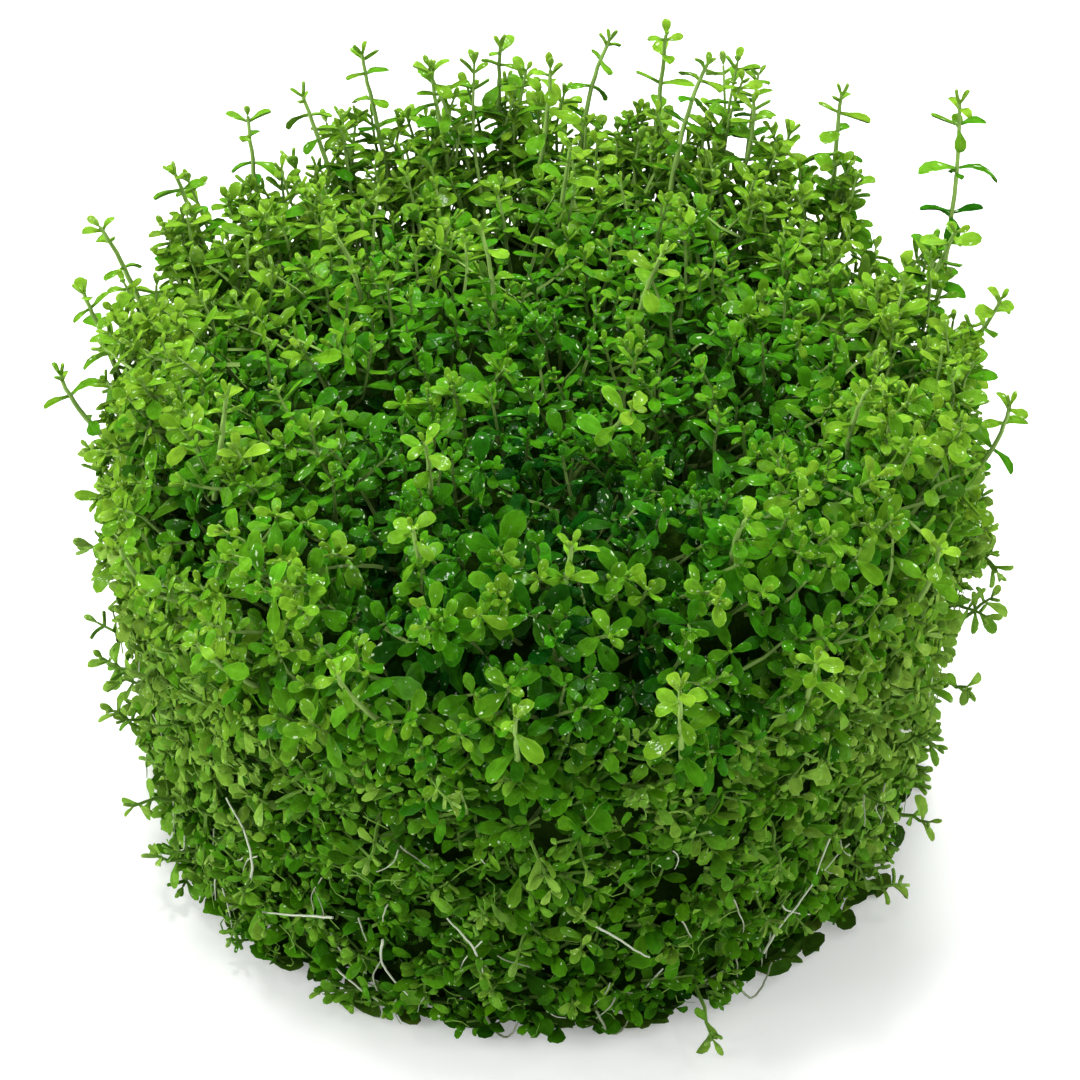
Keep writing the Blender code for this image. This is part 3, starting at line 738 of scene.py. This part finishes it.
def add_leafy_shoots(
    piece, strand, line, size, tone, pairs, radius, droop, fine, chance,
    breadth=LEAF_BREADTH, side=None,
):
    """Stems along lines, with pairs of leaves from the tip down, the first few of them finer.

    Each pair has its distance from the tip, the length of its leaves and how far they open.
    """
    count = len(line)
    thick = np.full(count, radius)
    piece.add_strands(strand, line, thick, thick * TAPER, tone, chance)
    total = np.linalg.norm(np.diff(line, axis=1), axis=2).sum(axis=1)
    first_side = square_to(unit(line[:, -1] - line[:, 0]), chance) if side is None else side
    turn = chance.normal(0, 0.2, count)
    for pair, (distance, pair_length, pair_opening) in enumerate(pairs):
        share = 1 - distance * MM * size / total
        there = share > LEAST_SHARE
        seat, stem_way = along_lines(line, np.maximum(share, LEAST_SHARE))
        side = unit(first_side - stem_way * dot(first_side, stem_way))
        side = turned(side, stem_way, turn)
        turn = turn + math.pi / 2 + chance.normal(0, 0.2, count)
        for hand in (1, -1):
            opening = math.radians(pair_opening) + chance.normal(0, 0.2, count)
            sine, cosine = np.sin(opening)[:, None], np.cos(opening)[:, None]
            leaf_way = side * hand * sine + stem_way * cosine
            face = stem_way * sine - side * hand * cosine
            face = unit(face + LIGHT_PULL + chance.normal(0, 0.17, face.shape))
            length = pair_length * MM * size * chance.uniform(0.75, 1.2, count)
            width = length * breadth * chance.uniform(0.78, 1.22, count)
            cup = chance.uniform(0.05, 0.5, count) * (1.2 if pair < 2 else 0.8)
            arch = chance.uniform(*((-0.5, 0.1) if pair < 1 else (-0.2, droop)), count)
            leaf_tone = tone + TIP_BRIGHTER - PAIR_DARKER * pair + chance.normal(0, 0.07, count)
            form = fine_leaf if pair < fine else plain_leaf
            parts = (seat, leaf_way, face, length, width, cup, arch, leaf_tone)
            piece.add_leaves(form, *(values[there] for values in parts), chance)


chance = np.random.default_rng(37)
bearings, share = evenly_spread(TOP_SHOOTS, 0.04, chance)
reach = TOP_REACH * np.sqrt(share)
reach = np.clip(reach + chance.normal(0, 0.5 * MM, TOP_SHOOTS), 0, TOP_REACH)
top = top_seats(bearings, reach)
top_edge = ((reach / TOP_REACH) ** 3)[:, None]
top_way = unit(up * (1.1 - 0.5 * top_edge) + outward(bearings) * 0.75 * top_edge)
side_bearings, share = evenly_spread(SIDE_SHOOTS, 0.04, chance)
side = wall_seats(side_bearings, SIDE_LOW + (SIDE_HIGH - SIDE_LOW) * share)
share = share[:, None]
side_way = unit(outward(side_bearings) * (1.0 - 0.35 * share) + up * (0.3 + 0.6 * share))
seats = np.concatenate([top, side])
ways = np.concatenate([top_way, side_way])
bearings = np.concatenate([bearings, side_bearings])
count = len(seats)
lumps = np.array([noise.noise(Vector(seat) / LUMP_SIZE) for seat in seats])
pocket = np.zeros(count)
for bearing, distance, height in POCKETS:
    middle = outward(np.array(math.radians(bearing))) * distance * MM + up * height * MM
    pocket = np.maximum(pocket, 1 - np.linalg.norm(seats - middle, axis=1) / POCKET_REACH)
proud = chance.uniform(size=count) < PROUD_SHARE + lumps * 0.5 - pocket * 1.2
rise = np.where(proud, chance.uniform(*PROUD_RISES, count), chance.uniform(*LOW_RISES, count))
rise = rise + lumps * 1.2 - pocket
# How far a shoot stands proud, less so at the back: proud shoots get painted light, low ones
# painted shade.
tone_of_rise = rise * (1 - 0.5 * np.clip(np.sin(bearings), 0, 1))
on_side = np.arange(count) >= TOP_SHOOTS
rise = rise - np.where(on_side, SIDE_INSET, 0)
grow = unit(ways + chance.normal(0, 0.48, ways.shape))
tip = seats + ways * rise[:, None] * MM
depth = SHOOT_DEPTH * chance.uniform(0.85, 1.15, count)
foot = tip - unit(grow + ways * 0.5) * depth[:, None]
foot -= ways * np.maximum(0, FOOT_DEPTH - dot(seats - foot, ways))
foot[:, :2] *= np.minimum(1, FOOT_REACH / np.linalg.norm(foot[:, :2], axis=1))[:, None]
knee = (foot + tip) / 2 + chance.normal(0, 0.7 * MM, foot.shape) - up * 0.3 * MM
line = bent_lines(foot, knee, tip, 4, 0.15 * MM, chance)
edge = np.minimum(1, np.linalg.norm(seats[:, :2], axis=1) / (40 * MM))
size = 0.94 + 0.10 * edge + chance.normal(0, 0.09, count)
# Painted light on the left, right and back rim, for light shining through the leaves, and painted
# shade on the front middle.
aside = np.abs(np.cos(bearings) - LEFT_LIGHT) * edge**2
behind = np.clip(np.sin(bearings), 0, 1) * edge**2
apart = (seats[:, 0] / MM - FRONT_X) ** 2 + (seats[:, 1] / MM - FRONT_Y) ** 2
shaded = np.exp(-apart / FRONT_REACH**2)
shoot_tone = CANOPY_TONE + RISE_PAINTED_LIGHT * tone_of_rise + ASIDE_PAINTED_LIGHT * aside
shoot_tone = shoot_tone + BEHIND_PAINTED_LIGHT * behind - FRONT_PAINTED_SHADE * shaded
shoot_tone += lumps * LUMP_PAINTED_LIGHT + chance.normal(0, 0.08, count)
shoot_tone = np.clip(shoot_tone, 0, 1)
quarter = np.mod(np.floor((bearings + TURN / 8) / (TURN / 4)), 4).astype(int)
for number, name in enumerate(("canopy_right", "canopy_back", "canopy_left", "canopy_front")):
    piece = Foliage()
    for pairs, fine, chosen in ((CANOPY_PAIRS, 3, proud), (CANOPY_PAIRS[:LOW_PAIRS], 0, ~proud)):
        members = chosen & (quarter == number)
        add_leafy_shoots(
            piece, thin_strand, line[members], size[members], shoot_tone[members],
            pairs, STEM_RADIUS, CANOPY_DROOP, fine, chance,
        )
    piece.finish(name, fresh_leaf, "leaf_green")


# The tall shoots: the ones that stand clear of the canopy along its back and rim, and the
# shorter ones between them. Their leaves stand further apart on thicker, paler stems and arch
# over, with small cupped pairs at the tips.
TALL_SPACING = 2.3
FIRST_DISTANCE = 0.7
# A high tone: partly the young shoots' own paler green, partly painted light shining through them.
TALL_TONE = 0.84
TALL_LENGTHS = (1.4, 2.1, 2.6, 2.9, 3.0, 3.0, 3.0, 2.9, 2.9)
TALL_OPENINGS = (36, 60, 74, 82, 88, 90, 92, 94, 94)
TALL_RADIUS = 0.30 * MM
TALL_BREADTH = 0.50
TALL_DROOP = 1.1
LONG_JOINTED = "shoot_25"
LONG_JOINTED_FOOT = np.array([5.0, -1.0, 0]) * MM
LONG_JOINTED_PAIRS = (
    (0, 1.8, 30), (0.8, 2.4, 50), (2.1, 3.1, 78), (2.6, 2.2, 80),
    (6.3, 4.6, 72), (6.8, 1.6, 80), (10.8, 3.2, 82), (11.3, 2.6, 80),
)
LONG_JOINTED_DROOP = 2.2
LONG_JOINTED_SIDE = np.array([[1.0, 0.1, 0.0]])
BETWEEN_SHOOTS = 110
BETWEEN_REACHES = (29, 37)
BETWEEN_RISES = (0.6, 2.6)
BETWEEN_DEPTH = 7 * MM
# The between shoots are painted bright the same way; those in front are painted darker: painted
# shade.
BETWEEN_TONE, BETWEEN_FRONT_SHADE = 0.83, 0.22
CLUSTERS = (
    (-27, 27, 3.0), (-17, 33.5, 5.5), (-11, 33, 3.5), (-5.5, 35, 9.5), (0, 35.5, 6.0),
    (11, 34, 4.0), (17, 31.5, 9.5), (23, 29.5, 5.0), (29, 26, 5.5), (-33, 19, 5.5),
    (-38, 8, 3.5), (36, 14, 4.0), (39, 3, 3.0),
)
CLUSTER_SHOOTS = 8
CLUSTER_SPREAD = 2.1
BETWEEN_DISTANCES = (0.0, 0.8, 2.3, 4.4, 6.8)
SHOOT_MIDDLE = np.array([0, 0, 28 * MM])
TALL_ROOT_DEPTH = 6 * MM


def points_of(node):
    """The points of a CAD node."""
    return np.array([vertex.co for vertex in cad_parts[node].data.vertices])


def foot_and_tip(node):
    """The CAD shoot's point nearest to the clump's middle and its highest point."""
    points = points_of(node)
    nearest = np.linalg.norm(points - SHOOT_MIDDLE, axis=1).argmin()
    return points[nearest], points[points[:, 2].argmax()]


chance = np.random.default_rng(53)
tall_nodes = sorted(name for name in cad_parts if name.startswith("shoot_"))
tall_shoots = Foliage()
for node in tall_nodes:
    foot, tip = foot_and_tip(node)
    if node == LONG_JOINTED:
        foot = foot + LONG_JOINTED_FOOT
    length = np.linalg.norm(tip - foot)
    pairs = max(3, min(len(TALL_LENGTHS), round(length / MM / TALL_SPACING) + 3))
    normal = np.array(clump_surface.find_nearest(Vector(foot))[1])
    root = foot - unit(normal + up) * TALL_ROOT_DEPTH
    knee = foot + (tip - foot) * 0.35 + chance.normal(0, 0.05, 3) * length
    line = bent_lines(root[None], knee[None], tip[None], LONG_STATIONS, 0.035 * MM, chance)
    spacing = TALL_SPACING * chance.uniform(0.95, 1.45)
    distances = [0, FIRST_DISTANCE]
    distances += [FIRST_DISTANCE + spacing * (0.6 + number) for number in range(pairs - 2)]
    tone = np.array([TALL_TONE + chance.normal(0, 0.06)])
    size = np.array([chance.uniform(0.92, 1.08)])
    tall_pairs, droop, side = list(zip(distances, TALL_LENGTHS, TALL_OPENINGS)), TALL_DROOP, None
    if node == LONG_JOINTED:
        tall_pairs, droop, side = LONG_JOINTED_PAIRS, LONG_JOINTED_DROOP, LONG_JOINTED_SIDE
    add_leafy_shoots(
        tall_shoots, long_strand, line, size, tone, tall_pairs,
        TALL_RADIUS, droop, len(TALL_LENGTHS), chance, TALL_BREADTH, side,
    )
bearings = chance.uniform(0, TURN, BETWEEN_SHOOTS)
reach = chance.uniform(*BETWEEN_REACHES, BETWEEN_SHOOTS) * MM
rise = chance.uniform(*BETWEEN_RISES, BETWEEN_SHOOTS) * MM
clusters = np.repeat(np.array(CLUSTERS), CLUSTER_SHOOTS, axis=0) * MM
plan = clusters[:, :2] + chance.normal(0, CLUSTER_SPREAD * MM, (len(clusters), 2))
bearings = np.concatenate([bearings, np.arctan2(plan[:, 1], plan[:, 0])])
reach = np.concatenate([reach, np.minimum(np.linalg.norm(plan, axis=1), TOP_REACH)])
rise = np.concatenate([rise, chance.uniform(0.2, 1, len(plan)) * clusters[:, 2]])
count = len(rise)
seats = top_seats(bearings, reach)
in_front = np.clip(-np.sin(bearings), 0, 1)
lean = outward(bearings) * (chance.uniform(0.0, 0.45, count) + 0.8 * in_front)[:, None]
way = unit(up + (lean + chance.normal(0, 0.16, seats.shape)))
tip = seats + way * rise[:, None]
foot = tip - way * (rise + BETWEEN_DEPTH)[:, None]
knee = (foot + tip) / 2 + chance.normal(0, 0.6 * MM, foot.shape)
line = bent_lines(foot, knee, tip, 5, 0.15 * MM, chance)
# Painted light on the between shoots, and painted shade on the ones in front.
tone = np.clip(BETWEEN_TONE - BETWEEN_FRONT_SHADE * in_front + chance.normal(0, 0.08, count), 0, 1)
size = chance.uniform(0.9, 1.1, count)
between_pairs = list(zip(BETWEEN_DISTANCES, TALL_LENGTHS, TALL_OPENINGS))
add_leafy_shoots(
    tall_shoots, short_strand, line, size, tone, between_pairs,
    STEM_RADIUS, 1.0, 4, chance, TALL_BREADTH,
)
tall_shoots.finish("tall_shoots", fresh_leaf, "shoot_green", tall_nodes)


# The side sprigs: short young stems that grew out through the pressed wall, each with a few
# small curled leaves. One hangs from the lower edge, just over what the clump stands on.
SPRIG_PAIRS = ((0.0, 1.5, 30), (0.7, 2.2, 55), (2.0, 2.4, 75))
SMALL_SPRIGS = 90
SPRIG_DEPTH = 2.5 * MM
SPRIG_HEIGHTS = (1.5, 34)
LONG_SPRIG_TONE, LOW_SPRIG_TONE, HIGHER_PAINTED_LIGHT = 0.78, 0.56, 0.007
chance = np.random.default_rng(67)
sprig_nodes = sorted(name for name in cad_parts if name.startswith("sprig_"))
sprigs = Foliage()
for node in sprig_nodes:
    points = points_of(node)
    distance = np.linalg.norm(points[:, :2], axis=1)
    foot, tip = points[distance.argmin()], points[distance.argmax()]
    tip = tip - unit(tip - foot) * 1.2 * MM
    root = foot - (tip - foot) * 0.6
    line = bent_lines(root[None], ((root + tip) / 2)[None], tip[None], 5, 0.15 * MM, chance)
    size, tone = np.array([1.0]), np.array([LONG_SPRIG_TONE])
    add_leafy_shoots(
        sprigs, short_strand, line, size, tone, SPRIG_PAIRS, STEM_RADIUS, 1.2, 3, chance
    )
count = SMALL_SPRIGS
bearings = chance.uniform(0, TURN, count)
heights = chance.uniform(*SPRIG_HEIGHTS, count) * MM
seats = wall_seats(bearings, heights)
way = outward(bearings) + up * chance.normal(0.1, 0.5, count)[:, None]
way = unit(way + chance.normal(0, 0.35, seats.shape))
tip = seats + way * (chance.uniform(0.4, 2.2, count) * MM)[:, None]
foot = tip - way * 4 * MM
foot -= outward(bearings) * np.maximum(0, SPRIG_DEPTH - dot(seats - foot, outward(bearings)))
knee = (foot + tip) / 2 + chance.normal(0, 0.5 * MM, foot.shape)
line = bent_lines(foot, knee, tip, 5, 0.12 * MM, chance)
# Higher sprigs are painted brighter: painted light from above.
tone = LOW_SPRIG_TONE + heights / MM * HIGHER_PAINTED_LIGHT + chance.normal(0, 0.08, count)
tone = np.clip(tone, 0, 1)
size = chance.uniform(0.7, 1.0, count)
add_leafy_shoots(
    sprigs, short_strand, line, size, tone, SPRIG_PAIRS, STEM_RADIUS * 0.9, 1.1, 2, chance
)
sprigs.finish("sprigs", wall_leaf, "sprig_green", sprig_nodes)


# The roots: white, hair-thin and soft, drawn along the wall, with loops at the foot.
# The thicker ones are the CAD's own. The finer ones between them are only found here.
FINE_ROOTS = 110
FINE_ROOT_RADIUS = 0.07 * MM
FINE_ROOT_LENGTHS = (1.8, 5)
ROOT_RADIUS, LOOP_RADIUS = 0.13 * MM, 0.12 * MM
ROOT_TONE, LOOP_TONE = 1.0, 0.25
ROOT_STATIONS = 20
ROOT_SLICES = 9
ROOT_GLOSS = 0.3
ROOT_RELIEF = 0.03 * MM
ROOT_LIFT = -0.5 * MM
LOOP_LIFT = -0.8 * MM
LOOP_DRAWN_IN = 0.75
ROOT_WHITE = (0.52, 0.58, 0.43, 1)
ROOT_DULL = (0.11, 0.15, 0.05, 1)
root_material, tree, shader = new_material("root_white", 0.38)
place = add_node(tree, "UVMap", uv_map="OFBake").outputs["UV"]
inputs = {0: place, 1: (CELLS, CELLS, 0)}
scaled = add_node(tree, "VectorMath", inputs, operation="MULTIPLY").outputs[0]
cell = add_node(tree, "VectorMath", {0: scaled}, operation="FLOOR").outputs[0]
row = add_node(tree, "SeparateXYZ", {0: cell}).outputs["Y"]
inputs = {"Vector": scaled, "Scale": 4, "Detail": 3}
streaks = add_node(tree, "TexNoise", inputs, noise_dimensions="2D").outputs["Fac"]
paleness = add_node(tree, "Math", {0: row, 1: CELLS - 1}, operation="DIVIDE").outputs[0]
paleness = add_node(tree, "Math", {0: paleness, 1: streaks}, operation="ADD").outputs[0]
inputs = {0: paleness, 1: 0.5}
paleness = add_node(tree, "Math", inputs, operation="SUBTRACT", use_clamp=True).outputs[0]
inputs = {"Factor": paleness, "A": ROOT_DULL, "B": ROOT_WHITE}
tint = add_node(tree, "Mix", inputs, data_type="RGBA")
tree.links.new(tint.outputs["Result"], shader.inputs["Base Color"])
root_bump = add_node(tree, "Bump", {"Height": streaks, "Strength": 0.3, "Distance": ROOT_RELIEF})
tree.links.new(root_bump.outputs["Normal"], shader.inputs["Normal"])
shader.inputs["Specular IOR Level"].default_value = ROOT_GLOSS


def centreline(node, stations):
    """The middle line of a CAD root, from the mean of its points in slices along it."""
    points = points_of(node)
    middle = points.mean(axis=0)
    if "loop" in node:
        along = unit(np.cross(up, unit(middle * np.array([1, 1, 0]))))
    else:
        along = np.linalg.svd(points - middle, full_matrices=False)[2][0]
    run = (points - middle) @ along
    slices = np.linspace(run.min(), run.max(), ROOT_SLICES)
    near = np.abs(run[None] - slices[:, None]).argsort(axis=1)[:, :8]
    knots = points[near].mean(axis=1)
    knots[1:-1] = (knots[:-2] + 2 * knots[1:-1] + knots[2:]) / 4
    share, knot_share = np.linspace(0, 1, stations), np.linspace(0, 1, len(knots))
    return np.stack([np.interp(share, knot_share, knots[:, axis]) for axis in range(3)], axis=1)


chance = np.random.default_rng(71)
root_strand = strand_form(ROOT_STATIONS, 6)
roots = Foliage()
root_nodes = sorted(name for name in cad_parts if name.startswith("root_"))
for node in root_nodes:
    line = centreline(node, ROOT_STATIONS)
    loop = "loop" in node
    away = unit(line * np.array([1, 1, 0]))
    distance = dot(line, away)
    line += away * (LOOP_LIFT + LOOP_DRAWN_IN * (distance.min() - distance) if loop else ROOT_LIFT)
    sway = np.cumsum(chance.normal(0, 0.035 * MM, line.shape), axis=0)
    line += sway - np.linspace(0, 1, ROOT_STATIONS)[:, None] * sway[-1]
    radius = np.array([LOOP_RADIUS if loop else ROOT_RADIUS])
    tone = np.array([LOOP_TONE if loop else ROOT_TONE])
    roots.add_strands(root_strand, line[None], radius, radius * TAPER, tone, chance)
count = FINE_ROOTS
bearings = chance.uniform(0, TURN, count)
heights = chance.uniform(0, 1, count) ** 1.6 * 26 * MM + 3 * MM
start = wall_seats(bearings, heights, 0.6 * MM)
out = outward(bearings)
lean = chance.normal(math.pi, 0.6, count)
length = np.minimum(chance.uniform(*FINE_ROOT_LENGTHS, count) * MM, heights)
line = wandering(start, unit(leaning(out, lean)), out, length, LONG_STATIONS, 0.07, chance)
radius = FINE_ROOT_RADIUS * chance.uniform(0.8, 1.5, count)
tone = chance.uniform(0.35, 1, count)
roots.add_strands(long_strand, line, radius, radius * TAPER, tone, chance)
roots.finish("roots", root_material, "root_white", root_nodes)


# The studio: a plain pale floor, soft light from above, both sides and behind, and small lamps
# for the glints in the water. The camera stands at the photo's angle.
FLOOR_SIZE = 3
FLOOR_ROUGHNESS = 0.7
WORLD_LIGHT = 0.60
LIGHTS = (
    ("key_softbox", (-0.10, 0.00, 0.60), 0.03, 0.08, 1.2, True),
    ("left_softbox", (-0.55, -0.14, 0.20), 0.03, 0.25, 2.5, False),
    ("right_softbox", (0.55, -0.14, 0.20), 0.03, 0.25, 1.25, False),
    ("back_softbox", (0.02, 0.36, 0.54), 0.04, 0.30, 5.2, False),
    ("back_left_lamp", (-0.22, 0.42, 0.48), 0.04, 0.03, 0.2, True),
    ("back_right_lamp", (0.22, 0.42, 0.48), 0.04, 0.03, 0.2, True),
    ("left_lamp", (-0.42, 0.05, 0.48), 0.04, 0.03, 0.2, True),
    ("right_lamp", (0.42, 0.05, 0.48), 0.04, 0.03, 0.2, True),
)
CAMERA_ELEVATION = math.radians(39.2)
CAMERA_DISTANCE = 0.330
CAMERA_TARGET = Vector((0.00011, 0, 0.0277))
CAMERA_LENS = 121.2
FLOOR_COLOUR = (0.88, 0.88, 0.88, 1)
FLOOR_GLOW = 0.25
floor_form = bmesh.new()
bmesh.ops.create_grid(floor_form, x_segments=1, y_segments=1, size=FLOOR_SIZE)
floor_mesh = bpy.data.meshes.new("floor")
floor_form.to_mesh(floor_mesh)
floor_form.free()
floor = bpy.data.objects.new("floor", floor_mesh)
bpy.context.scene.collection.objects.link(floor)
floor_material, tree, shader = new_material("pale_floor", FLOOR_ROUGHNESS)
shader.inputs["Base Color"].default_value = FLOOR_COLOUR
shader.inputs["Emission Color"].default_value = FLOOR_COLOUR
shader.inputs["Emission Strength"].default_value = FLOOR_GLOW
floor_mesh.materials.append(floor_material)
floor.visible_glossy = False

world = bpy.data.worlds.new("studio")
world.use_nodes = True
backdrop = world.node_tree.nodes["Background"]
backdrop.inputs["Color"].default_value = (1, 1, 1, 1)
backdrop.inputs["Strength"].default_value = WORLD_LIGHT
bpy.context.scene.world = world
world.cycles_visibility.glossy = False

# Each is a square soft light, and only a mirrored one is seen in the leaves' gloss.
for name, lamp_place, target_height, size, power, mirrored in LIGHTS:
    light = bpy.data.lights.new(name, "AREA")
    light.size = size
    light.energy = power
    lamp = bpy.data.objects.new(name, light)
    lamp.location = lamp_place
    to_target = Vector((0, 0, target_height)) - Vector(lamp_place)
    lamp.rotation_euler = to_target.to_track_quat("-Z", "Y").to_euler()
    lamp.visible_glossy = mirrored
    bpy.context.scene.collection.objects.link(lamp)

camera_data = bpy.data.cameras.new("camera")
camera_data.lens = CAMERA_LENS
camera_data.sensor_width = 36
camera = bpy.data.objects.new("camera", camera_data)
camera_way = Vector((0, -math.cos(CAMERA_ELEVATION), math.sin(CAMERA_ELEVATION)))
camera.location = CAMERA_TARGET + camera_way * CAMERA_DISTANCE
camera.rotation_euler = (math.pi / 2 - CAMERA_ELEVATION, 0, 0)
bpy.context.scene.collection.objects.link(camera)
bpy.context.scene.camera = camera
bpy.context.scene.view_settings.view_transform = "Standard"
